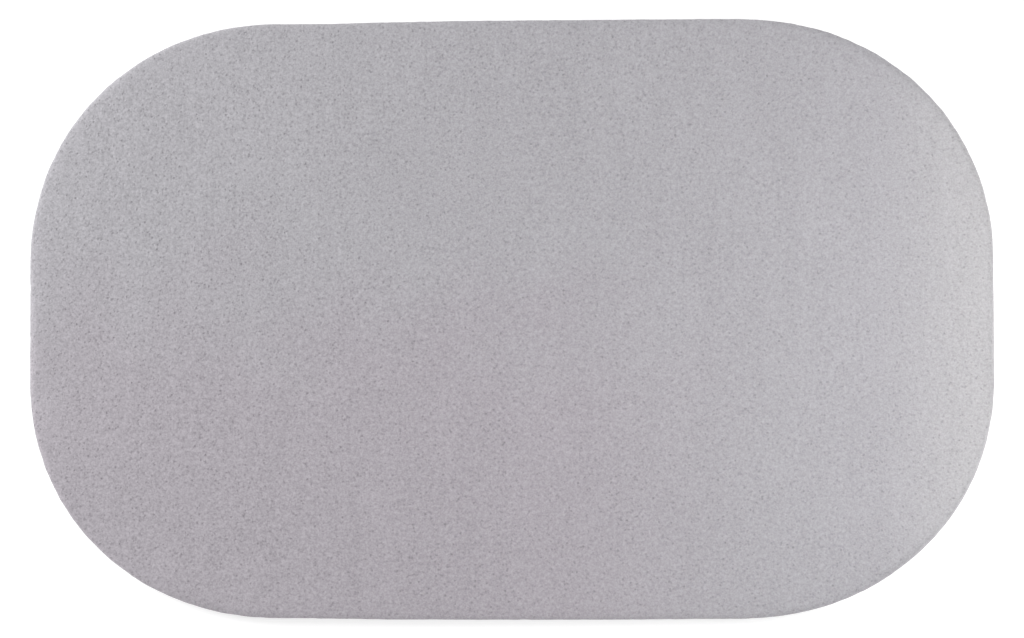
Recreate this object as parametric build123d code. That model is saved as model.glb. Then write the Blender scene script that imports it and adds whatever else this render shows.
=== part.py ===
from build123d import *
from math import ceil, hypot, sqrt
import os

# Foam-cored bath mat. A foam slab is bagged in a short-pile plush cover that rolls over the
# edge and a little way under it, and a dotted anti-slip cloth closes the underside.
# Millimetres, +Z up, origin on the floor under the middle of the mat, length along X.

# The mat as a whole
mat_length = 800.0
mat_width = 496.0
mat_thickness = 15.0
corner_radius = 200.0

# Plush cover: knitted ground cloth with a sheared pile
plush_thickness = 2.0
top_roll = 8.5            # radius from the top face into the side
bottom_roll = 4.5         # radius from the side into the hem
side_band = 1.0           # least upright stretch left between the two rolls
hem_width = 9.0           # from the outline to the seam, measured under the mat
hem_lip_roll = 1.2        # radius where the hem turns up into the seam

# Backing cloth, and the soft elastomer coating on it: a thin film with dots in one piece
backing_thickness = 0.8
film_thickness = 0.2
dot_height = 0.8
dot_radius = 2.2
dot_foot_radius = 1.3
dot_pitch = 16.0
dot_margin = 6.0          # plain film between the seam and the nearest dot

# Seam between cover and backing, with both edges turned inside
seam_allowance = 7.0
seam_gap = 0.6            # space for the thread between the two folds
thread_diameter = 0.5

# Opening the foam went in through, whip-stitched shut on one long side
closing_length = 180.0
closing_pitch = 5.0
closing_stitch_length = 2.6
closing_slant = 24.0      # degrees off square to the seam
closing_clearance = 0.1

# Folded care label caught in the seam at one end
label_width = 32.0
label_length = 38.0
label_ply = 0.25
label_clearance = 0.1
label_dot_clearance = 0.8

# Fit of the foam in its bag
foam_clearance = 0.3

# Levels, from the floor up
film_low = dot_height
backing_low = film_low + film_thickness
backing_high = backing_low + backing_thickness
backing_fold_top = backing_high + backing_thickness
plush_fold_top = backing_fold_top + plush_thickness
foam_top = mat_thickness - plush_thickness

# Insets, from the outline inwards
backing_inset = hem_width + seam_gap
allowance_inset = backing_inset + seam_allowance
foam_inset = plush_thickness + foam_clearance

# The top roll gives way first where the mat is too thin for both rolls
cover_top_roll = min(top_roll, mat_thickness - side_band - bottom_roll)


def pad(inset, low, high):
    """The mat's outline, drawn in by inset, as a slab between two levels."""
    outline = RectangleRounded(mat_length - 2 * inset, mat_width - 2 * inset, corner_radius - inset)
    return Pos(0, 0, low) * extrude(outline, high - low)


def band(outer_inset, inner_inset, low, high):
    """A flat ring that follows the outline between two insets."""
    return pad(outer_inset, low, high) - pad(inner_inset, low, high)


def edges_at(solid, level):
    """The edges of a slab that lie on one level."""
    return solid.edges().filter_by_position(Axis.Z, level, level)


def rolled_pad(inset, low, high, low_roll, high_roll):
    """A slab whose lower and upper edges are both rolled."""
    slab = fillet(edges_at(pad(inset, low, high), high), high_roll)
    return fillet(edges_at(slab, low), low_roll)


def inside_outline(x, y, inset):
    """Whether a point lies within the outline drawn in by inset."""
    past_x = max(abs(x) - (mat_length / 2 - corner_radius), 0)
    past_y = max(abs(y) - (mat_width / 2 - corner_radius), 0)
    return hypot(past_x, past_y) <= corner_radius - inset


def make_plush_cover():
    """Top, rolled side, hem, and the turned-up edge that lies on the backing's fold."""
    outside = rolled_pad(0, 0, mat_thickness, bottom_roll, cover_top_roll)
    inside = rolled_pad(
        plush_thickness,
        plush_thickness,
        foam_top,
        bottom_roll - plush_thickness,
        cover_top_roll - plush_thickness,
    )
    shell = outside - inside - pad(hem_width, 0, mat_thickness / 2)
    riser = band(hem_width - plush_thickness, hem_width, 0, plush_fold_top)
    allowance = band(hem_width, allowance_inset, backing_fold_top, plush_fold_top)
    cover = shell + riser + allowance
    hem_lip = edges_at(cover, 0).filter_by(lambda edge: on_outline(edge, hem_width))
    return fillet(hem_lip, hem_lip_roll)


def on_outline(edge, inset):
    """Whether an edge runs along the outline drawn in by inset."""
    tolerance = 0.01
    middle = edge @ 0.5
    just_outside = inside_outline(middle.X, middle.Y, inset - tolerance)
    return just_outside and not inside_outline(middle.X, middle.Y, inset + tolerance)


def make_foam_core():
    """Slab with rolled top edges, relieved underneath where the seam allowances lie."""
    upper = pad(foam_inset, plush_fold_top, foam_top)
    upper = fillet(edges_at(upper, foam_top), cover_top_roll - plush_thickness)
    lower = pad(allowance_inset + foam_clearance, backing_high, plush_fold_top)
    return upper + lower


def make_backing_cloth():
    """Flat cloth whose edge is folded back on itself at the seam."""
    cloth = pad(backing_inset, backing_low, backing_high)
    fold = band(backing_inset, allowance_inset, backing_high, backing_fold_top)
    return cloth + fold


def label_centre_x():
    """Middle of the label's length, inboard of the seam where it curves at the +X end."""
    seam_radius = corner_radius - hem_width
    past_straight = max(label_width / 2 - (mat_width / 2 - corner_radius), 0)
    seam_sag = seam_radius - sqrt(seam_radius**2 - past_straight**2)
    label_inset = hem_width + label_clearance + seam_sag
    return mat_length / 2 - label_inset - label_length / 2


def under_label(x, y):
    """Whether a dot at this place would foul the label."""
    reach = dot_radius + label_dot_clearance
    near_x = abs(x - label_centre_x()) < label_length / 2 + reach
    near_y = abs(y) < label_width / 2 + reach
    return near_x and near_y


def dot_places():
    """Staggered rows of dots over the film, clear of the seam and the label."""
    row_pitch = dot_pitch * sqrt(3) / 2
    rows = ceil(mat_width / 2 / row_pitch)
    columns = ceil(mat_length / 2 / dot_pitch)
    edge_inset = backing_inset + dot_margin + dot_radius
    places = []
    for row in range(-rows, rows + 1):
        stagger = dot_pitch / 2 if row % 2 else 0
        for column in range(-columns, columns + 1):
            x = column * dot_pitch + stagger
            y = row * row_pitch
            if inside_outline(x, y, edge_inset) and not under_label(x, y):
                places.append((x, y))
    return places


def make_grip_coating():
    """The film under the backing, with low round dots that stand on the floor."""
    film = pad(backing_inset, film_low, backing_low)
    dot = Pos(0, 0, dot_height / 2) * Cone(dot_foot_radius, dot_radius, dot_height)
    return film.fuse(*[Pos(x, y, 0) * dot for x, y in dot_places()])


def make_seam_thread():
    """The closed line of thread that joins the hem to the backing's fold."""
    inset = hem_width + seam_gap / 2
    line = RectangleRounded(mat_length - 2 * inset, mat_width - 2 * inset, corner_radius - inset)
    path = (Pos(0, 0, backing_high) * line).wire()
    section = Plane(origin=path @ 0, z_dir=path % 0) * Circle(thread_diameter / 2)
    return sweep(section, path=path)


def make_closing_stitches():
    """Slanted stitches that cross the seam along the opening on the -Y side."""
    count = round(closing_length / closing_pitch)
    reach = hem_width + closing_clearance + closing_stitch_length / 2 + thread_diameter / 2
    y = -mat_width / 2 + reach
    z = film_low - thread_diameter / 2
    stitch = Rot(0, 0, closing_slant) * Rot(90, 0, 0)
    stitch *= Cylinder(thread_diameter / 2, closing_stitch_length)
    first = -(count - 1) / 2 * closing_pitch
    return Compound(children=[Pos(first + i * closing_pitch, y, z) * stitch for i in range(count)])


def make_care_label():
    """Blank tape folded double, lying against the coating."""
    thickness = 2 * label_ply
    centre = Pos(label_centre_x(), 0, film_low - thickness / 2)
    return centre * Box(label_length, label_width, thickness)


nodes = {
    "plush_cover": make_plush_cover,
    "foam_core": make_foam_core,
    "backing_cloth": make_backing_cloth,
    "grip_coating": make_grip_coating,
    "seam_thread": make_seam_thread,
    "closing_stitches": make_closing_stitches,
    "care_label": make_care_label,
}

os.makedirs("parts", exist_ok=True)
for name, make in nodes.items():
    export_step(make(), f"parts/{name}.step")
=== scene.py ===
import math

import bpy
import numpy as np
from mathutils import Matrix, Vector


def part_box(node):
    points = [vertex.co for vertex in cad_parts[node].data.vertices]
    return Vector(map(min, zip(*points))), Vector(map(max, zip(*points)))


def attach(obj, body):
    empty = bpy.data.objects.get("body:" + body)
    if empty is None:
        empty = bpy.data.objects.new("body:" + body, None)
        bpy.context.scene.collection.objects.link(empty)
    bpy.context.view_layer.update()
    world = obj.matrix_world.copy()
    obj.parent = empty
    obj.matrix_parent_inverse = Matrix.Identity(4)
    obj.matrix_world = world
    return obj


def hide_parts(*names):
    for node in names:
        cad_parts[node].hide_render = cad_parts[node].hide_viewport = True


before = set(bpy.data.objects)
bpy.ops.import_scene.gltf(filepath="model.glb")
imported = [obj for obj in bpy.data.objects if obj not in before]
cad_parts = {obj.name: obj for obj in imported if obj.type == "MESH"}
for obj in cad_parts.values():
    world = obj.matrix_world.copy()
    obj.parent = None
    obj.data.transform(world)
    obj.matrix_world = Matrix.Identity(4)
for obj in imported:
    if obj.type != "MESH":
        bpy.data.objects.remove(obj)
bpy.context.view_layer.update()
scene = bpy.context.scene
scene.view_settings.view_transform = "Standard"
mm = 0.001
print("frame loaded:", ", ".join(sorted(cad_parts)))

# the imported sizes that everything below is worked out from
coverBox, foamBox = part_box("plush_cover"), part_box("foam_core")
backingBox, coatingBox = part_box("backing_cloth"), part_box("grip_coating")
threadBox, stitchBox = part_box("seam_thread"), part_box("closing_stitches")
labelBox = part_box("care_label")
halfLong, halfShort, matTop = coverBox[1]
seamInset = halfLong - threadBox[1].x
foamTop = foamBox[1].z

# how this mat has been sewn and how it lies
mat = {
    "cornerLong": 210.6 * mm,     # each corner's curve along the long side
    "cornerShort": 200.4 * mm,    # and along the short side
    "cornerPower": 2.09,          # 2 is an ellipse, more is squarer
    "waver": 0.4 * mm,            # unevenness of the sewn outline
    "waverLength": 120 * mm,
    "curlStart": 285 * mm,        # the +X end curls up off the floor from here
    "curlHeight": 8.0 * mm,
    "acrossCells": 164,           # mesh cells along and across the mat, before the last halving
    "downCells": 100,
}


def softNoise(x, y, size, seed):
    # value noise between -1 and 1 with lattice cells of this size
    lattice = np.random.default_rng(seed).uniform(-1, 1, (256, 256))
    u, v = np.asarray(x) / size + 91.3, np.asarray(y) / size + 57.7
    i, j = np.floor(u).astype(int), np.floor(v).astype(int)
    fu, fv = u - i, v - j
    fu, fv = fu * fu * (3 - 2 * fu), fv * fv * (3 - 2 * fv)
    near = lattice[i % 256, j % 256] * (1 - fu) + lattice[(i + 1) % 256, j % 256] * fu
    far = lattice[i % 256, (j + 1) % 256] * (1 - fu) + lattice[(i + 1) % 256, (j + 1) % 256] * fu
    return near * (1 - fv) + far * fv


def ease(low, high, value):
    t = np.clip((np.asarray(value) - low) / (high - low), 0, 1)
    return t * t * (3 - 2 * t)


def cornerArc(start, end, mirrorX, mirrorY, steps=240):
    # part of a corner: 0 is where it meets the short side, 1 where it meets the long side
    turn = np.linspace(start, end, steps) * math.pi / 2
    bend = 2 / mat["cornerPower"]
    x = halfLong - mat["cornerLong"] * (1 - np.cos(turn).clip(0) ** bend)
    y = halfShort - mat["cornerShort"] * (1 - np.sin(turn).clip(0) ** bend)
    return np.column_stack([mirrorX * x, mirrorY * y])


def evenly(points, count):
    run = np.concatenate([[0], np.cumsum(np.hypot(*np.diff(points, axis=0).T))])
    marks = np.linspace(0, run[-1], count, endpoint=False)
    return np.column_stack([np.interp(marks, run, points[:, k]) for k in (0, 1)])


def outlineLoop(across, down):
    # front, right, back, left, each from the middle of one corner to the middle of the next
    front = np.vstack([cornerArc(0.5, 1, -1, -1), cornerArc(1, 0.5, 1, -1)])
    right = np.vstack([cornerArc(0.5, 0, 1, -1), cornerArc(0, 0.5, 1, 1)])
    sides = [(front, across), (right, down), (-front, across), (-right, down)]
    loop = np.vstack([evenly(side, count) for side, count in sides])
    along = np.roll(loop, -1, axis=0) - np.roll(loop, 1, axis=0)
    along /= np.hypot(*along.T)[:, None]
    outward = np.column_stack([along[:, 1], -along[:, 0]])
    uneven = softNoise(loop[:, 0], loop[:, 1], mat["waverLength"], 3)[:, None]
    return loop + outward * uneven * mat["waver"], outward


def rimOrder(across, down):
    # the patch's own edge points in the same order as the loop
    front = [(i, 0) for i in range(across)]
    right = [(across, j) for j in range(down)]
    back = [(across - i, down) for i in range(across)]
    left = [(0, down - j) for j in range(down)]
    return np.array(front + right + back + left)


def fillLoop(loop, across, down):
    # spreads a grid of points smoothly inside a loop
    front, right = loop[: across + 1], loop[across : across + down + 1]
    back = loop[across + down : 2 * across + down + 1][::-1]
    left = np.vstack([loop[2 * across + down :], loop[:1]])[::-1]
    u = np.linspace(0, 1, across + 1)[:, None, None]
    v = np.linspace(0, 1, down + 1)[None, :, None]
    sides = (1 - v) * front[:, None] + v * back[:, None] + (1 - u) * left[None] + u * right[None]
    corners = (1 - u) * (1 - v) * front[0] + u * (1 - v) * front[-1]
    corners = corners + (1 - u) * v * back[0] + u * v * back[-1]
    return sides - corners


def finer(points, axis, closed):
    # puts a smooth new point between every two along one axis
    p = np.moveaxis(points, axis, 0)
    if closed:
        before, here, after, beyond = (np.roll(p, k, axis=0) for k in (1, 0, -1, -2))
    else:
        here, after = p[:-1], p[1:]
        before = np.concatenate([2 * p[:1] - p[1:2], p[:-2]])
        beyond = np.concatenate([p[2:], 2 * p[-1:] - p[-2:-1]])
    middle = (9 * (here + after) - before - beyond) / 16
    out = np.empty((len(here) * 2 + (0 if closed else 1),) + p.shape[1:])
    out[0::2] = p
    out[1::2] = middle
    return np.moveaxis(out, 0, axis)


def patchFaces(across, down, start, up):
    index = start + np.arange((across + 1) * (down + 1)).reshape(across + 1, down + 1)
    corners = [index[:-1, :-1], index[1:, :-1], index[1:, 1:], index[:-1, 1:]]
    faces = np.stack(corners, axis=-1).reshape(-1, 4)
    return faces if up else faces[:, ::-1]


def bandFaces(inner, outer):
    # joins two loops, whose counts are equal or two to one
    if len(inner) == len(outer):
        return np.column_stack([inner, outer, np.roll(outer, -1), np.roll(inner, -1)]).tolist()
    faces, count = [], len(outer)
    for k in range(count):
        a, b, c = inner[2 * k], inner[2 * k + 1], inner[(2 * k + 2) % len(inner)]
        p, q = outer[k], outer[(k + 1) % count]
        faces += [[a, p, b], [b, p, q], [b, q, c]]
    return faces


def closedPad(name, topPatch, rings, bottomPatch):
    # a closed skin: a patch, loops that run out from its edge and back in, and a last patch
    across, down = topPatch.shape[0] - 1, topPatch.shape[1] - 1
    verts = [topPatch.reshape(-1, 3)]
    faces = patchFaces(across, down, 0, True).tolist()
    rim = rimOrder(across, down)
    lastLoop = rim[:, 0] * (down + 1) + rim[:, 1]
    count = (across + 1) * (down + 1)
    for ring in rings:
        loop = np.arange(count, count + len(ring))
        faces += bandFaces(lastLoop, loop)
        verts.append(ring)
        count += len(ring)
        lastLoop = loop
    if bottomPatch is not None:
        across, down = bottomPatch.shape[0] - 1, bottomPatch.shape[1] - 1
        rim = rimOrder(across, down)
        loop = count + rim[:, 0] * (down + 1) + rim[:, 1]
        faces += bandFaces(lastLoop, loop)
        faces += patchFaces(across, down, count, False).tolist()
        verts.append(bottomPatch.reshape(-1, 3))
    return newPiece(name, np.vstack(verts), faces)


def newPiece(name, verts, faces, smooth=True):
    mesh = bpy.data.meshes.new(name)
    mesh.from_pydata([tuple(v) for v in verts], [], faces)
    mesh.polygons.foreach_set("use_smooth", [smooth] * len(mesh.polygons))
    mesh.update()
    piece = bpy.data.objects.new(name, mesh)
    scene.collection.objects.link(piece)
    return piece


def curled(points):
    # bends points up at the +X end, keeping their height above the bent sheet
    reach = halfLong - mat["curlStart"]
    t = np.clip((points[:, 0] - mat["curlStart"]) / reach, 0, None)
    slope = 2 * mat["curlHeight"] * t / reach
    lean = np.arctan(slope)
    out = points.copy()
    out[:, 0] -= points[:, 2] * np.sin(lean)
    out[:, 2] = mat["curlHeight"] * t**2 + points[:, 2] * np.cos(lean)
    return out


def readPlaces(piece, field="co"):
    values = np.empty(len(piece.data.vertices) * 3)
    piece.data.vertices.foreach_get(field, values)
    return values.reshape(-1, 3)


def writePlaces(piece, places):
    piece.data.vertices.foreach_set("co", places.ravel())
    piece.data.update()


def settle(piece):
    # gives a finished piece the curl that the whole mat has
    writePlaces(piece, curled(readPlaces(piece)))


def ringAt(loop, outward, inset, height):
    flat = loop - outward * inset
    return np.column_stack([flat, np.full(len(flat), height)])


def flatPatch(loop, outward, inset, across, down, height):
    flat = fillLoop(loop - outward * inset, across, down)
    return np.dstack([flat, np.full(flat.shape[:2], height)])


# materials
def newLook(name):
    material = bpy.data.materials.new(name)
    material.use_nodes = True
    return material


def add(material, kind, inputs={}, **settings):
    # adds a node; an input is given either a value or another node's output
    node = material.node_tree.nodes.new("ShaderNode" + kind)
    for name, value in settings.items():
        setattr(node, name, value)
    for name, value in inputs.items():
        if isinstance(value, bpy.types.NodeSocket):
            material.node_tree.links.new(value, node.inputs[name])
        else:
            node.inputs[name].default_value = value
    return node


def finish(material, constants, colour=None, roughness=None, bump=None):
    # sets the shader's own sockets and joins up what varies over the surface
    shader = material.node_tree.nodes["Principled BSDF"]
    for name, value in constants.items():
        shader.inputs[name].default_value = value
    for name, socket in (("Base Color", colour), ("Roughness", roughness), ("Normal", bump)):
        if socket is not None:
            material.node_tree.links.new(socket, shader.inputs[name])
    return material


def stretched(material, x, y, z):
    place = add(material, "TexCoord").outputs["Object"]
    scaled = add(material, "VectorMath", {0: place, 1: (x, y, z)}, operation="MULTIPLY")
    return scaled.outputs["Vector"]


def noise(material, size, detail=2.0, roughness=0.5, vector=None):
    inputs = {"Scale": 1 / size, "Detail": detail, "Roughness": roughness}
    inputs["Vector"] = vector or add(material, "TexCoord").outputs["Object"]
    return add(material, "TexNoise", inputs).outputs["Fac"]


def sums(material, base, *terms):
    # base plus each (socket, weight, middle) in turn
    total = base
    for socket, weight, middle in terms:
        inputs = {0: socket, 1: weight, 2: -weight * middle}
        step = add(material, "Math", inputs, operation="MULTIPLY_ADD")
        total = add(material, "Math", {0: total, 1: step.outputs[0]}, operation="ADD").outputs[0]
    return total


def ramp(material, socket, low, high, start=0.0, end=1.0):
    inputs = {"Value": socket, "From Min": low, "From Max": high, "To Min": start, "To Max": end}
    return add(material, "MapRange", inputs, interpolation_type="SMOOTHSTEP").outputs["Result"]


def tinted(material, brightness, shift, colourA, colourB):
    # mixes two close colours and then brightens or darkens the result
    mixed = add(material, "Mix", {0: shift, 6: colourA, 7: colourB}, data_type="RGBA")
    scaled = add(material, "VectorMath", {0: mixed.outputs[2], "Scale": brightness}, operation="SCALE")
    return scaled.outputs["Vector"]


def bumped(material, height, depth):
    inputs = {"Height": height, "Distance": depth, "Strength": 1.0}
    return add(material, "Bump", inputs).outputs["Normal"]


# plush cover
cover = {
    "rollWidth": 15.0 * mm,       # how far in from the outline the top starts to roll over
    "rollPower": 4.0,             # fullness of the shoulder, 2 is an ellipse
    "rollRows": 6,
    "widest": 5.6 * mm,           # height of the outline above the floor
    "underRoll": 5.2 * mm,        # roll from the side into the hem
    "underRows": 4,
    # the hem turning up at the seam, as (distance before the seam, height)
    "lip": ((1.1 * mm, 0.1 * mm), (0.35 * mm, 0.9 * mm), (0.35 * mm, 2.0 * mm)),
    # the inside of the cloth, from the seam up to the ceiling, as (inset, height)
    "lining": (
        (4.2 * mm, 4.4 * mm),
        (2.1 * mm, 6.0 * mm),
        (4.0 * mm, 10.0 * mm),
        (9.5 * mm, 12.6 * mm),
    ),
    "liningGap": 0.1 * mm,        # between the foam's top and the lining
    "slack": 0.5 * mm,            # the blank is cut this much smaller and swells out again
    "swellLimit": 1.3 * mm,
    "pressure": 3.0,
    "frames": 20,
    "weight": 0.2,
    "stiffness": 0.6,
    "gather": 0.03,               # how far the roll under the side is drawn up
    "gatherRows": 3,
    "grip": (0.35, 0.25),         # how hard the foam holds the cloth, and how far that varies
    "gripSize": 70 * mm,
    "quality": 5,
    "unevenTop": 0.30 * mm,
    "unevenSize": 90 * mm,
    "unevenDetail": 38 * mm,
    "tufts": 0.16 * mm,
    "tuftSize": 7.0 * mm,
    "grey": (0.370, 0.361, 0.383, 1),
    "mauve": (0.371, 0.347, 0.376, 1),    # where the nap lies flatter, towards -X and -Y
    "mauveX": (0.24, 0.02),               # it comes in between these places
    "mauveY": (0.10, -0.08),
    "paintedLitEnd": (0.405, 0.397, 0.409, 1),  # painted light: the +X end, where it curls up towards the lamps, is coloured lighter
    "paintedLitEndX": (0.29, 0.40),
    "grainContrastByLight": (1.18, 0.8),    # painted light, from -X to +X: the grain's colour contrast is stronger where the low light rakes the -X end, weaker at the +X end
    "pitSpacing": 3.7 * mm,       # small gaps where the pile parts
    "pitRadius": 0.40,            # as a share of the spacing
    "clumpSize": 2.6 * mm,
    "fibreSize": 1.3 * mm,
    "napStretch": (85, 9, 40),    # streaks left by brushing, longest along Y
    "blotchSize": 85 * mm,
    "relief": 0.6 * mm,
    "sheen": 0.12,
    "gloss": 0.03,
}


def coverSection():
    # from the flat top, over the side and under to the seam, as (inset, height)
    power = 2 / cover["rollPower"]
    section = []
    for k in range(1, cover["rollRows"] + 1):
        turn = math.pi / 2 * k / cover["rollRows"]
        inset = cover["rollWidth"] * (1 - math.sin(turn) ** power)
        rise = max(math.cos(turn), 0) ** power
        section.append((inset, cover["widest"] + (matTop - cover["widest"]) * rise))
    for k in range(1, cover["underRows"] + 1):
        turn = math.pi / 2 * k / cover["underRows"]
        inset = cover["underRoll"] * (1 - math.cos(turn))
        section.append((inset, cover["widest"] * (1 - math.sin(turn))))
    return section + [(seamInset - back, height) for back, height in cover["lip"]]


def swell(patch, rings):
    # puffs the cover's outer skin over its foam with a short cloth run
    blank = closedPad("coverBlank", patch, rings, None)
    start = readPlaces(blank)
    topCount, loopLength = patch.shape[0] * patch.shape[1], len(rings[0])
    hem = topCount + loopLength * (len(rings) - len(cover["lip"]))
    edge = np.hypot(*start[:, :2].T * [[1 / halfLong], [1 / halfShort]])
    usual, spread = cover["grip"]
    grip = usual + spread * softNoise(start[:, 0], start[:, 1], cover["gripSize"], 11)
    grip = np.clip(grip * (1 - 0.5 * ease(0.8, 1.0, edge)), 0.05, 0.9)
    grip[hem:] = 1.0
    held = blank.vertex_groups.new(name="held")
    for k, weight in enumerate(grip):
        held.add([k], float(weight), "REPLACE")
    gathered = blank.vertex_groups.new(name="gathered")
    gathered.add(list(range(hem - cover["gatherRows"] * loopLength, hem)), 1.0, "REPLACE")
    cloth = blank.modifiers.new("plush", "CLOTH")
    cloth.settings.quality = cover["quality"]
    cloth.settings.mass = cover["weight"]
    cloth.settings.bending_stiffness = cover["stiffness"]
    cloth.settings.use_pressure = True
    cloth.settings.uniform_pressure_force = cover["pressure"]
    cloth.settings.vertex_group_mass = "held"
    cloth.settings.vertex_group_shrink = "gathered"
    cloth.settings.shrink_max = cover["gather"]
    cloth.settings.effector_weights.gravity = 0
    cloth.point_cache.frame_end = cover["frames"]
    for f in range(1, cover["frames"] + 1):
        scene.frame_set(f)
    move = readPlaces(blank.evaluated_get(bpy.context.evaluated_depsgraph_get())) - start
    far = np.linalg.norm(move, axis=1, keepdims=True)
    print("cover swells by", np.round(far.mean() / mm, 2), "mm, at most", np.round(far.max() / mm, 2))
    bpy.data.objects.remove(blank)
    scene.frame_set(1)
    return start + move * np.minimum(1, cover["swellLimit"] / np.maximum(far, 1e-9))


def raisePile(piece, outerCount):
    # relief in the outer skin: a slightly uneven top and the tufts of the pile
    places, normals = readPlaces(piece), readPlaces(piece, "normal")
    x, y, z = places[:outerCount].T
    flatness = ease(cover["widest"], matTop, z)
    uneven = softNoise(x, y, cover["unevenSize"], 21) + 0.5 * softNoise(x, y, cover["unevenDetail"], 22)
    size = cover["tuftSize"]
    tufts = softNoise(x, y + z, size, 23) + 0.6 * softNoise(x + z, y, size * 0.6, 24)
    height = cover["unevenTop"] * uneven * flatness + cover["tufts"] * tufts * ease(0, 3 * mm, z)
    places[:outerCount] += normals[:outerCount] * height[:, None]
    places[:, 2] = np.maximum(places[:, 2], 0)
    writePlaces(piece, places)


def makeCover():
    across, down = mat["acrossCells"], mat["downCells"]
    loop, outward = outlineLoop(across, down)
    slack = cover["slack"]
    patch = flatPatch(loop, outward, cover["rollWidth"], across, down, matTop - slack)
    rings = [
        ringAt(loop - outward * slack, outward, inset, z - slack * ease(0, matTop, z))
        for inset, z in coverSection()
    ]
    skin = swell(patch, rings)
    topCount = patch.shape[0] * patch.shape[1]
    patch = skin[:topCount].reshape(patch.shape)
    rings = list(skin[topCount:].reshape(len(rings), -1, 3))
    # the swollen skin is drawn back to the pattern's size, and keeps only its unevenness
    patch[:, :, 2] += matTop - patch[:, :, 2].mean()
    for ring, (inset, z) in zip(rings, coverSection()):
        reach = ((loop - ring[:, :2]) * outward).sum(axis=1).mean() - inset
        ring[:, :2] += outward * reach
        ring[:, 2] += z - ring[:, 2].mean()
    # every cell of the outer skin is halved
    rim = rimOrder(across, down)
    sleeve = np.stack([patch[rim[:, 0], rim[:, 1]]] + rings)
    sleeve = finer(finer(sleeve, 0, False), 1, True)
    patch = finer(finer(patch, 0, False), 1, False)
    rim = rimOrder(2 * across, 2 * down)
    patch[rim[:, 0], rim[:, 1]] = sleeve[0]
    # the lining lies one cloth inside, on coarser loops
    coarse = outlineLoop(across // 2, down // 2)
    inner = [ringAt(loop, outward, seamInset + 0.2 * mm, 3.8 * mm)]
    inner += [ringAt(*coarse, inset, z) for inset, z in ((seamInset, 4.3 * mm), *cover["lining"])]
    ceilingInset, ceilingHeight = cover["rollWidth"] + 2 * mm, foamTop + cover["liningGap"]
    ceiling = flatPatch(*coarse, ceilingInset, across // 2, down // 2, ceilingHeight)
    piece = closedPad("plushCover", patch, list(sleeve[1:]) + inner, ceiling)
    pileRows = len(sleeve) - 1 - len(cover["lip"])     # the lip in the seam stays plain
    raisePile(piece, patch.shape[0] * patch.shape[1] + pileRows * sleeve.shape[1])
    settle(piece)
    return piece


plushCover = makeCover()
print("plush cover:", len(plushCover.data.polygons), "faces")


def plushMaterial():
    m = newLook("shearedPlush")
    place = add(m, "TexCoord").outputs["Object"]
    where = add(m, "SeparateXYZ", {"Vector": place}).outputs
    cells = add(m, "TexVoronoi", {"Vector": place, "Scale": 1 / cover["pitSpacing"]})
    pits = ramp(m, cells.outputs["Distance"], 0, cover["pitRadius"], 1.0, 0.0)
    clumps = noise(m, cover["clumpSize"], 1.0, 0.5)
    fibres = noise(m, cover["fibreSize"], 1.0, 0.6)
    nap = noise(m, 1.0, 3.0, 0.5, stretched(m, *cover["napStretch"]))
    blotches = noise(m, cover["blotchSize"], 3.0, 0.55)
    height = sums(m, 0.5, (clumps, 0.55, 0.5), (fibres, 0.15, 0.5), (pits, -0.65, 0))
    # pits are painted darker, as painted shade in their hollows; clumps and fibres add random tone
    pitShadeAndMottle = sums(m, 0.0, (pits, -0.16, 0.14), (clumps, 0.40, 0.5), (fibres, 0.40, 0.5))
    # painted light: the grain's contrast rises towards -X, where the low light rakes, and falls towards
    # +X
    depth = ramp(m, where["X"], -0.4, 0.4, *cover["grainContrastByLight"])
    shade = add(m, "Math", {0: pitShadeAndMottle, 1: depth, 2: 1.0}, operation="MULTIPLY_ADD").outputs[0]
    shade = sums(m, shade, (nap, 0.08, 0.5), (blotches, 0.08, 0.5))
    drift = sums(m, where["Y"], (blotches, 0.2, 0.5))
    front, side = ramp(m, drift, *cover["mauveY"]), ramp(m, where["X"], *cover["mauveX"])
    flat = add(m, "Math", {0: front, 1: side}, operation="MULTIPLY").outputs[0]
    body = add(m, "Mix", {0: flat, 6: cover["grey"], 7: cover["mauve"]}, data_type="RGBA").outputs[2]
    # painted highlight: the +X end, curled up towards the lamps, is mixed to a lighter colour
    end = ramp(m, where["X"], *cover["paintedLitEndX"])
    colour = tinted(m, shade, end, body, cover["paintedLitEnd"])
    rough = sums(m, 0.9, (clumps, -0.15, 0.5), (blotches, 0.1, 0.5))
    constants = {
        "Sheen Weight": cover["sheen"],
        "Sheen Roughness": 0.5,
        "Specular IOR Level": cover["gloss"],
    }
    return finish(m, constants, colour, rough, bumped(m, height, cover["relief"]))


plushCover.data.materials.append(plushMaterial())
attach(plushCover, "root")
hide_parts("plush_cover")


# foam core
foam = {
    "under": 2.3 * mm,            # how far inside the outline it ends
    "rollWidth": 8.0 * mm,
    "rollDepth": 5.5 * mm,
    "rollRows": 5,
    "shelf": 4.7 * mm,            # height of its ledge over the seam allowances
    "ledge": 17.0 * mm,           # inset of the ledge's inner edge
    "uneven": 0.15 * mm,
    "unevenSize": 25 * mm,
    "cellSize": 1.3 * mm,
    "relief": 0.5 * mm,
    "sheen": 0.1,
    "colour": (0.80, 0.76, 0.62, 1),
    "shadow": (0.52, 0.47, 0.34, 1),
}


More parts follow.
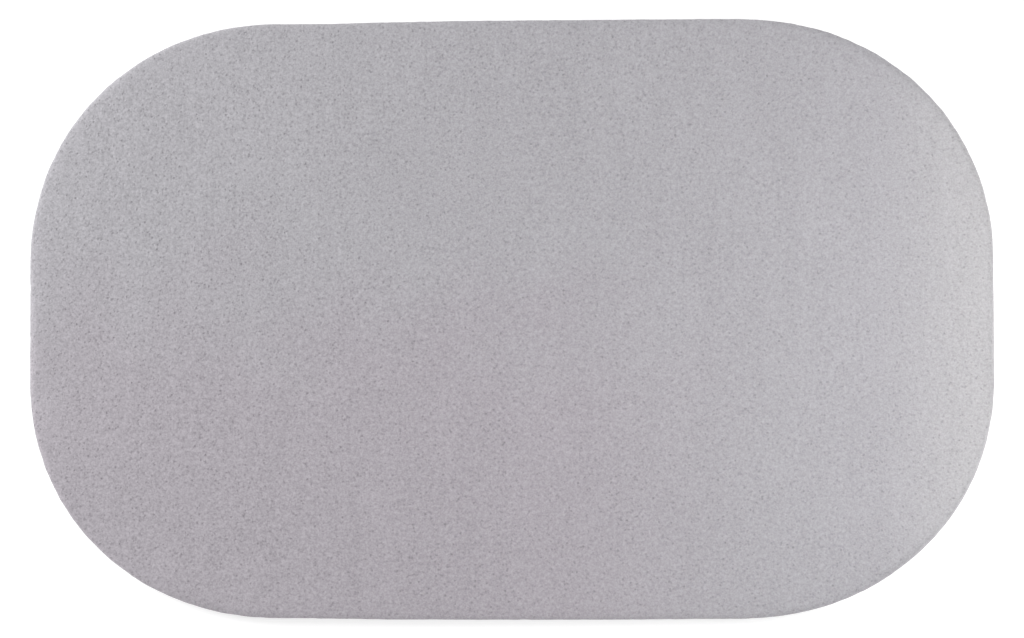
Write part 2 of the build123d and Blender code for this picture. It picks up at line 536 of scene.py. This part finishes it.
def makeFoam():
    across, down = mat["acrossCells"] // 2, mat["downCells"] // 2
    skin = outlineLoop(across, down)
    patch = flatPatch(*skin, foam["under"] + foam["rollWidth"], across, down, foamTop)
    rings = []
    for k in range(1, foam["rollRows"] + 1):
        turn = math.pi / 2 * k / foam["rollRows"]
        inset = foam["under"] + foam["rollWidth"] * (1 - math.sin(turn))
        rings.append(ringAt(*skin, inset, foamTop - foam["rollDepth"] * (1 - math.cos(turn))))
    section = [(foam["under"], foam["shelf"] + 0.5 * mm), (foam["under"] + 0.6 * mm, foam["shelf"])]
    section += [(foam["ledge"], foam["shelf"]), (foam["ledge"], foamBox[0].z + 0.3 * mm)]
    rings += [ringAt(*skin, inset, z) for inset, z in section]
    base = flatPatch(*skin, foam["ledge"] + 0.6 * mm, across, down, foamBox[0].z)
    piece = closedPad("foamCore", patch, rings, base)
    places = readPlaces(piece)
    x, y, z = places.T
    dents = foam["uneven"] * (1 + softNoise(x, y, foam["unevenSize"], 31))
    places[:, 2] -= dents * ease(foam["shelf"], foamTop, z)
    writePlaces(piece, places)
    settle(piece)
    return piece


def foamMaterial():
    m = newLook("openCellFoam")
    place = add(m, "TexCoord").outputs["Object"]
    cells = add(m, "TexVoronoi", {"Vector": place, "Scale": 1 / foam["cellSize"]})
    holes = ramp(m, cells.outputs["Distance"], 0.1, 0.5, 1.0, 0.0)
    cast = noise(m, 60 * mm, 3.0)
    shade = sums(m, 1.0, (cast, 0.2, 0.5), (noise(m, 0.4 * mm), 0.2, 0.5))
    colour = tinted(m, shade, holes, foam["colour"], foam["shadow"])
    rough = sums(m, 0.92, (cast, 0.1, 0.5))
    height = sums(m, 0.5, (holes, -0.5, 0))
    bump = bumped(m, height, foam["relief"])
    return finish(m, {"Sheen Weight": foam["sheen"]}, colour, rough, bump)


# backing cloth, its edge folded up and back at the seam
backing = {
    "edge": 9.6 * mm,             # inset of the fold
    "foldEnd": 16.6 * mm,         # inset of the cut edge
    "cloth": 0.8 * mm,
    "foldRadius": 1.0 * mm,
    "foldSteps": 8,
    "yarn": 0.9 * mm,             # pitch of the weave
    "relief": 0.25 * mm,
    "sheen": 0.15,
    "colour": (0.33, 0.33, 0.36, 1),
    "dark": (0.21, 0.21, 0.24, 1),
}


def makeBacking():
    across, down = mat["acrossCells"] // 2, mat["downCells"] // 2
    skin = outlineLoop(across, down)
    low = backingBox[0].z
    middle, high = low + backing["cloth"], low + 2 * backing["cloth"]
    cut, bend = backing["foldEnd"], backing["edge"] + backing["foldRadius"]
    # the slit inside the fold, the cut edge, then round the outside of the fold
    section = [(cut - 0.4 * mm, middle - 0.03 * mm), (bend, middle - 0.02 * mm)]
    section += [(bend - 0.15 * mm, middle), (bend, middle + 0.02 * mm)]
    section += [(cut, middle + 0.03 * mm), (cut + 0.1 * mm, high - 0.3 * mm), (cut, high)]
    for k in range(backing["foldSteps"] + 1):
        turn = math.pi * k / backing["foldSteps"]
        inset = bend - backing["foldRadius"] * math.sin(turn)
        section.append((inset, middle + backing["cloth"] * math.cos(turn)))
    rings = [ringAt(*skin, inset, z) for inset, z in section]
    inner = flatPatch(*skin, cut + 1.5 * mm, across, down, middle)
    outer = flatPatch(*skin, cut, across, down, low)
    piece = closedPad("backingCloth", inner, rings, outer)
    settle(piece)
    return piece


def clothMaterial(name, cloth):
    # plain weave from two crossed bands, with slubs and tone from yarn to yarn, and painted shade in
    # the hollows between the crossings
    m = newLook(name)
    place = add(m, "TexCoord").outputs["Object"]
    shares = add(m, "SeparateXYZ", {"Vector": place}).outputs
    threads = []
    for axis in ("X", "Y"):
        turns = add(m, "Math", {0: shares[axis], 1: math.pi / cloth["yarn"]}, operation="MULTIPLY")
        threads.append(add(m, "Math", {0: turns.outputs[0]}, operation="SINE").outputs[0])
    over = add(m, "Math", {0: threads[0], 1: threads[1]}, operation="MULTIPLY").outputs[0]
    slubs = noise(m, 1.0, 2.0, 0.5, stretched(m, 900, 120, 300))
    height = sums(m, 0.5, (over, 0.4, 0), (slubs, 0.3, 0.5))
    shade = sums(m, 1.0, (slubs, 0.3, 0.5), (noise(m, 45 * mm, 3.0), 0.15, 0.5))
    # painted shade: the colour is mixed towards the darker one where the weave lies low
    colour = tinted(m, shade, ramp(m, over, -0.8, 0.8), cloth["dark"], cloth["colour"])
    rough = sums(m, 0.85, (slubs, 0.2, 0.5))
    bump = bumped(m, height, cloth["relief"])
    return finish(m, {"Sheen Weight": cloth["sheen"]}, colour, rough, bump)


# grip coating: the film and its dots
coating = {
    "edge": 9.8 * mm,
    "film": 0.2 * mm,
    "pitch": 16.0 * mm,
    "radius": 2.2 * mm,
    "rim": 17.8 * mm,             # dots keep this far inside the outline
    "corner": 200 * mm,
    "labelGap": 3.0 * mm,
    "rounds": 12,                 # points round each dot
    "relief": 0.05 * mm,
    "gloss": 0.45,
    "colour": (0.50, 0.50, 0.53, 1),
    "dull": (0.42, 0.42, 0.46, 1),
}


def dotPlaces():
    # staggered rows over the film, clear of the seam and the label
    pitch, corner, gap = coating["pitch"], coating["corner"], coating["labelGap"]
    rowPitch = pitch * math.sqrt(3) / 2
    rows, columns = math.ceil(halfShort / rowPitch), math.ceil(halfLong / pitch)
    places = []
    for row in range(-rows, rows + 1):
        for column in range(-columns, columns + 1):
            x = (column + (0.5 if row % 2 else 0)) * pitch
            y = row * rowPitch
            pastX = max(abs(x) - (halfLong - corner), 0)
            pastY = max(abs(y) - (halfShort - corner), 0)
            inside = math.hypot(pastX, pastY) < corner - coating["rim"]
            byLabelX = labelBox[0].x - gap < x < labelBox[1].x + gap
            byLabelY = abs(y) < labelBox[1].y + gap
            if inside and not (byLabelX and byLabelY):
                places.append((x, y))
    return places


def makeCoating():
    # the film, then each dot as a low dome whose root is inside the film
    across, down = mat["acrossCells"] // 2, mat["downCells"] // 2
    skin = outlineLoop(across, down)
    low, high = coatingBox[0].z, coatingBox[1].z
    film, edge = high - coating["film"], coating["edge"]
    top = flatPatch(*skin, edge + 3 * mm, across, down, high)
    sides = [(edge + 0.1 * mm, high), (edge, film + 0.1 * mm), (edge + 0.1 * mm, film)]
    base = flatPatch(*skin, edge + 3 * mm, across, down, film)
    piece = closedPad("gripCoating", top, [ringAt(*skin, inset, z) for inset, z in sides], base)
    verts = [readPlaces(piece)]
    faces = [list(p.vertices) for p in piece.data.polygons]
    bpy.data.objects.remove(piece)
    count, rounds = len(verts[0]), coating["rounds"]
    turn = np.arange(rounds) * 2 * math.pi / rounds
    root = film + 0.12 * mm
    steps = [(1.0, root), (0.97, film - 0.15 * mm)]    # share of the radius, and height
    steps += [(0.78, low + 0.25 * mm), (0.42, low + 0.03 * mm)]
    circle = np.column_stack([np.cos(turn), np.sin(turn)])
    dome = [np.column_stack([circle * share, np.full(rounds, z)]) for share, z in steps]
    dome = np.vstack(dome) * [coating["radius"], coating["radius"], 1]
    dome = np.vstack([dome, [[0, 0, low], [0, 0, root]]])
    pattern, last = [], rounds * len(steps)
    for ring in range(len(steps) - 1):
        for k in range(rounds):
            a, b = ring * rounds + k, ring * rounds + (k + 1) % rounds
            pattern.append([b, a, a + rounds, b + rounds])
    for k in range(rounds):
        a, b = last - rounds + k, last - rounds + (k + 1) % rounds
        pattern += [[b, a, last], [k, (k + 1) % rounds, last + 1]]
    for x, y in dotPlaces():
        verts.append(dome + [x, y, 0])
        faces += [[i + count for i in face] for face in pattern]
        count += len(dome)
    piece = newPiece("gripCoating", np.vstack(verts), faces)
    settle(piece)
    return piece


def coatingMaterial():
    m = newLook("softElastomer")
    clouds = noise(m, 30 * mm, 3.0)
    speckle = noise(m, 0.5 * mm, 2.0)
    height = sums(m, 0.5, (speckle, 0.5, 0.5), (noise(m, 4 * mm), 0.5, 0.5))
    shade = sums(m, 1.0, (speckle, 0.1, 0.5), (clouds, 0.1, 0.5))
    colour = tinted(m, shade, ramp(m, clouds, 0.35, 0.65), coating["colour"], coating["dull"])
    rough = sums(m, 0.55, (clouds, 0.2, 0.5), (speckle, 0.1, 0.5))
    bump = bumped(m, height, coating["relief"])
    return finish(m, {"Specular IOR Level": coating["gloss"]}, colour, rough, bump)


# seam thread
thread = {
    "stitch": 3.0 * mm,
    "points": 6,                  # per stitch
    "acrossCells": 120,
    "downCells": 76,
    "radius": 0.25 * mm,
    "twist": 1.4 * mm,            # length of one turn of the two plies
    "dip": 0.22 * mm,
    "relief": 0.06 * mm,
    "sheen": 0.3,
    "colour": (0.45, 0.44, 0.47, 1),
    "dark": (0.30, 0.29, 0.32, 1),
}


def threadTube(line, along, closed, sides=6):
    # a two-ply thread: an oval section that turns as it runs
    tangent = np.roll(line, -1, axis=0) - np.roll(line, 1, axis=0)
    if not closed:
        tangent[0], tangent[-1] = line[1] - line[0], line[-1] - line[-2]
    tangent /= np.linalg.norm(tangent, axis=1)[:, None]
    side = np.cross(tangent, [0, 0, 1])
    side /= np.linalg.norm(side, axis=1)[:, None]
    up = np.cross(side, tangent)
    around = np.arange(sides) * 2 * math.pi / sides
    turn = 2 * math.pi * along / thread["twist"]
    verts = []
    for angle in around:
        wide = np.cos(angle) * thread["radius"]
        narrow = np.sin(angle) * thread["radius"] * 0.7
        a = wide * np.cos(turn) - narrow * np.sin(turn)
        b = wide * np.sin(turn) + narrow * np.cos(turn)
        verts.append(line + side * a[:, None] + up * b[:, None])
    verts = np.stack(verts, axis=1).reshape(-1, 3)
    count, faces = len(line), []
    for k in range(count if closed else count - 1):
        for s in range(sides):
            a, b = k * sides + s, k * sides + (s + 1) % sides
            c, d = (k + 1) % count * sides + (s + 1) % sides, (k + 1) % count * sides + s
            faces.append([a, b, c, d])
    if not closed:
        faces += [list(range(sides))[::-1], [(count - 1) * sides + s for s in range(sides)]]
    return verts, faces


def makeSeamThread():
    # one closed line of lockstitch that dips into the cloth between stitches
    loop, outward = outlineLoop(thread["acrossCells"], thread["downCells"])
    loop = loop - outward * seamInset
    loop = np.vstack([loop, loop[:1]])
    length = np.hypot(*np.diff(loop, axis=0).T).sum()
    stitches = round(length / thread["stitch"])
    line = evenly(loop, stitches * thread["points"])
    along = np.arange(len(line)) * length / len(line)
    wave = np.cos(2 * math.pi * along / (length / stitches))
    level = threadBox[0].z + thread["radius"]
    line = np.column_stack([line, level + thread["dip"] * wave * 0.5])
    # a whole number of turns, so that the ends meet
    twists = round(length / thread["twist"])
    along = along * twists * thread["twist"] / length
    piece = newPiece("seamThread", *threadTube(line, along, True))
    settle(piece)
    return piece


# closing stitches
closing = {
    "length": 180 * mm,
    "pitch": 5.0 * mm,
    "slant": 24,                  # degrees off square to the seam
    "reach": 2.6 * mm,
    "hang": 0.05 * mm,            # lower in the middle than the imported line
    "pull": 1.2 * mm,             # how steeply the ends go up into the cloth
}


def makeClosing():
    # short slanted stitches, each pulled into the cloth at both ends
    count = round(closing["length"] / closing["pitch"])
    middle = (stitchBox[0] + stitchBox[1]) / 2
    rng = np.random.default_rng(5)
    verts, faces, start = [], [], 0
    for k in range(count):
        lean = math.radians(closing["slant"] + rng.uniform(-4, 4))
        reach = closing["reach"] * rng.uniform(0.94, 1.02)
        t = np.linspace(-0.5, 0.5, 11)
        x = (k - (count - 1) / 2) * closing["pitch"] - np.sin(lean) * reach * t
        y = middle.y + np.cos(lean) * reach * t
        z = middle.z - closing["hang"] + closing["pull"] * np.abs(t * 2) ** 4 * 0.4
        tube, tubeFaces = threadTube(np.column_stack([x, y, z]), (t + k) * reach, False, 8)
        verts.append(tube)
        faces += [[i + start for i in face] for face in tubeFaces]
        start += len(tube)
    piece = newPiece("closingStitches", np.vstack(verts), faces)
    settle(piece)
    return piece


def threadMaterial():
    m = newLook("spunThread")
    fibres = noise(m, 1.0, 2.0, 0.6, stretched(m, 5000, 5000, 1200))
    shade = sums(m, 1.0, (fibres, 0.4, 0.5), (noise(m, 20 * mm), 0.2, 0.5))
    colour = tinted(m, shade, ramp(m, fibres, 0.35, 0.6), thread["dark"], thread["colour"])
    rough = sums(m, 0.7, (fibres, 0.3, 0.5))
    bump = bumped(m, fibres, thread["relief"])
    return finish(m, {"Sheen Weight": thread["sheen"]}, colour, rough, bump)


# care label: a blank tape folded double, its cut ends caught in the seam
label = {
    "ply": 0.22 * mm,
    "rows": 20,
    "columns": 16,
    "sag": 0.12 * mm,
    "sagSize": 14 * mm,
    "yarn": 0.35 * mm,
    "relief": 0.06 * mm,
    "sheen": 0.2,
    "colour": (0.80, 0.80, 0.79, 1),
    "dark": (0.66, 0.66, 0.66, 1),
}


def makeLabel():
    low, high = labelBox
    bend = (high.z - low.z - label["ply"]) / 2      # radius of the fold
    run = np.linspace(0, 1, label["rows"])
    lower = [(high.x - (high.x - low.x - bend) * t, low.z + label["ply"] / 2) for t in run]
    middle = (low.x + bend, (low.z + high.z) / 2)
    turn = np.linspace(-0.5, -1.5, 7)[1:-1] * math.pi
    fold = [(middle[0] + bend * math.cos(a), middle[1] + bend * math.sin(a)) for a in turn]
    upper = [(x, high.z - label["ply"] / 2) for x, _ in lower[::-1]]
    line = np.array(lower + fold + upper)
    tangent = np.gradient(line, axis=0)
    tangent /= np.hypot(*tangent.T)[:, None]
    normal = np.column_stack([-tangent[:, 1], tangent[:, 0]]) * label["ply"] / 2
    section = np.vstack([line + normal, (line - normal)[::-1]])
    y = np.linspace(low.y, high.y, label["columns"])
    x = np.broadcast_to(section[:, 0], (len(y), len(section)))
    z = np.broadcast_to(section[:, 1], (len(y), len(section)))
    across = np.broadcast_to(y[:, None], z.shape)
    sag = label["sag"] * (softNoise(x, across, label["sagSize"], 41) - 1) / 2 * ease(high.x, low.x, x)
    verts = np.dstack([x, across, z + sag]).reshape(-1, 3)
    count, faces = len(section), []
    for j in range(len(y) - 1):
        for k in range(count):
            a, b = j * count + k, j * count + (k + 1) % count
            faces.append([b, a, a + count, b + count])
    half = len(line)
    for j in (0, (len(y) - 1) * count):     # the two long cut edges of the tape
        for k in range(half - 1):
            strip = [j + k, j + k + 1, j + count - 2 - k, j + count - 1 - k]
            faces.append(strip if j == 0 else strip[::-1])
    piece = newPiece("careLabel", verts, faces)
    settle(piece)
    return piece


foamCore = makeFoam()
foamCore.data.materials.append(foamMaterial())
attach(foamCore, "root")
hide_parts("foam_core")
print("foam core made")

backingCloth = makeBacking()
backingCloth.data.materials.append(clothMaterial("wovenBacking", backing))
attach(backingCloth, "root")
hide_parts("backing_cloth")
print("backing cloth made")

gripCoating = makeCoating()
gripCoating.data.materials.append(coatingMaterial())
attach(gripCoating, "root")
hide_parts("grip_coating")
print("grip coating made:", len(dotPlaces()), "dots")

seamThread = makeSeamThread()
closingStitches = makeClosing()
spun = threadMaterial()
for piece, node in ((seamThread, "seam_thread"), (closingStitches, "closing_stitches")):
    piece.data.materials.append(spun)
    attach(piece, "root")
    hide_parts(node)
print("seam and closing stitches made")

careLabel = makeLabel()
careLabel.data.materials.append(clothMaterial("satinTape", label))
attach(careLabel, "root")
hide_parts("care_label")
print("care label made")


# floor, camera and lights
studio = {
    "floorColour": (0.45, 0.45, 0.45, 1),
    "floorGlow": 0.65,            # keeps the floor white close to the mat
    "floorReach": 40,
    "cameraPlace": (0.0875, -0.084, 2.011),
    "cameraTurn": (2.38, 2.42, -0.19),      # degrees about X, Y and Z
    "lens": 85,
    "sensor": 36,
    "sky": 0.25,
    "horizon": 0.85,              # the studio's pale walls, low down all round
    "wallTop": (0.15, 0.4),       # the walls fade into the sky between these heights
}
lamps = {
    "window": {"place": (-1.8, 0.8, 1.3), "size": (1.2, 0.6), "power": 54},
    "edge": {"place": (0.75, -0.06, 0.55), "size": (0.4, 0.5), "power": 4.9},
    "front": {"place": (0.0, -1.6, 0.3), "size": (1.8, 0.4), "power": 7},
}


def makeFloor():
    r = studio["floorReach"]
    piece = newPiece("floor", [(-r, -r, 0), (r, -r, 0), (r, r, 0), (-r, r, 0)], [(0, 1, 2, 3)], False)
    m = newLook("paleFloor")
    glow = {"Base Color": studio["floorColour"], "Roughness": 0.9, "Emission Color": (1, 1, 1, 1)}
    piece.data.materials.append(finish(m, {**glow, "Emission Strength": studio["floorGlow"]}))


def makeCamera():
    data = bpy.data.cameras.new("camera")
    camera = bpy.data.objects.new("camera", data)
    scene.collection.objects.link(camera)
    data.lens = studio["lens"]
    data.sensor_width = studio["sensor"]
    camera.location = studio["cameraPlace"]
    camera.rotation_euler = [math.radians(a) for a in studio["cameraTurn"]]
    scene.camera = camera


def addSoftbox(name, place, size, power):
    data = bpy.data.lights.new(name, "AREA")
    data.shape = "RECTANGLE"
    data.size, data.size_y = size
    data.energy = power
    lamp = bpy.data.objects.new(name, data)
    scene.collection.objects.link(lamp)
    lamp.location = place
    lamp.visible_camera = False
    lamp.rotation_euler = (-Vector(place)).to_track_quat("-Z", "Y").to_euler()


def makeWorld():
    world = bpy.data.worlds.new("studio")
    scene.world = world
    world.use_nodes = True
    background = world.node_tree.nodes["Background"]
    background.inputs["Color"].default_value = (1, 1, 1, 1)
    direction = add(world, "TexCoord").outputs["Generated"]
    height = add(world, "SeparateXYZ", {"Vector": direction}).outputs["Z"]
    strength = ramp(world, height, *studio["wallTop"], studio["horizon"], studio["sky"])
    world.node_tree.links.new(strength, background.inputs["Strength"])


makeWorld()
makeFloor()
makeCamera()
for name, values in lamps.items():
    addSoftbox(name, **values)
print("studio ready")
